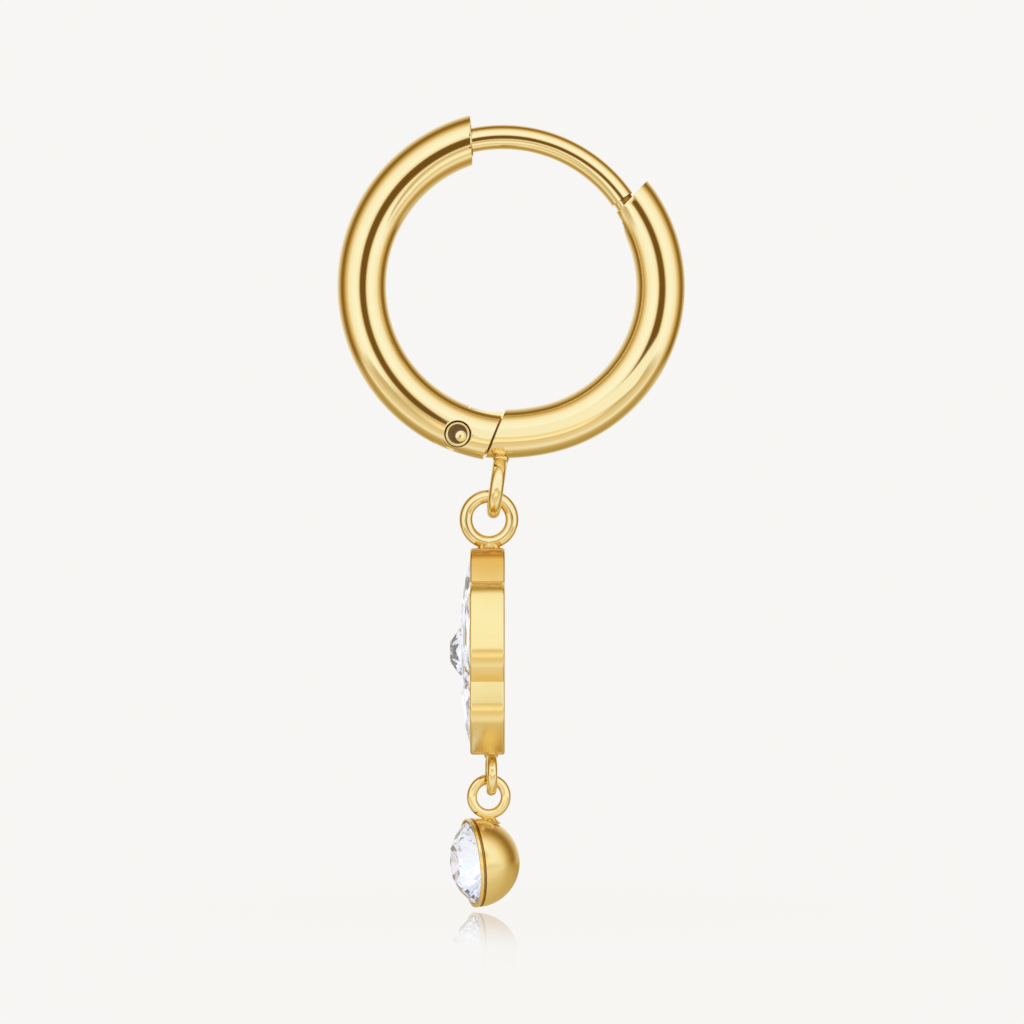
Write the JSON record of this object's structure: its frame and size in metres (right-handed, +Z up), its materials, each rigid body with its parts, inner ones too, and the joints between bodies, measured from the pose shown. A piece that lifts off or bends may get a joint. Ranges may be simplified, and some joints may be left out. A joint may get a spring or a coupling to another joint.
{
  "type": "dangle earring",
  "caption": "Hinged hoop earring with a stone-set flower pendant and a round stone drop, each hanging free on its own ring.",
  "frame": {"origin": "top of the ear wire's centreline, where the earring hangs in the ear", "axes": "+Z up along the hanging earring, +X from the hoop arm towards the gate arm, so the stones face -X, and Y through the hoop"},
  "size_m": [0.0142, 0.0086, 0.0323],
  "materials": {
    "gold_tube": "gold-plated steel tube, mirror polish",
    "gold_wire": "gold-plated steel wire, mirror polish",
    "gold_setting": "gold-plated cast setting, bright polish",
    "petal_crystal": "clear cut crystal",
    "round_crystal": "clear cut crystal"
  },
  "bodies": {
    "hoop": {"hoop_arm": "gold_tube", "ear_wire": "gold_wire", "hinge_pin": "gold_wire"},
    "gate": {"gate_arm": "gold_tube"},
    "pendant": {"pendant_setting": "gold_setting", "petal_stone_1": "petal_crystal", "petal_stone_2": "petal_crystal", "petal_stone_3": "petal_crystal", "petal_stone_4": "petal_crystal", "petal_stone_5": "petal_crystal", "centre_stone": "round_crystal"},
    "drop": {"drop_cup": "gold_setting", "drop_stone": "round_crystal"}
  },
  "joints": [
    {"name": "gate_hinge", "type": "hinge", "parent": "hoop", "child": "gate", "pos_m": [-0.00183, 0, -0.01213], "axis": [0, 1, 0], "range_deg": [0, 65]},
    {"name": "pendant_swing", "type": "hinge", "parent": "gate", "child": "pendant", "pos_m": [-0.00038, 0, -0.01529], "axis": [0, 1, 0], "range_deg": [-60, 60]},
    {"name": "drop_swing", "type": "hinge", "parent": "pendant", "child": "drop", "pos_m": [-0.00047, 0, -0.02668], "axis": [0, 1, 0], "range_deg": [-60, 60]}
  ]
}
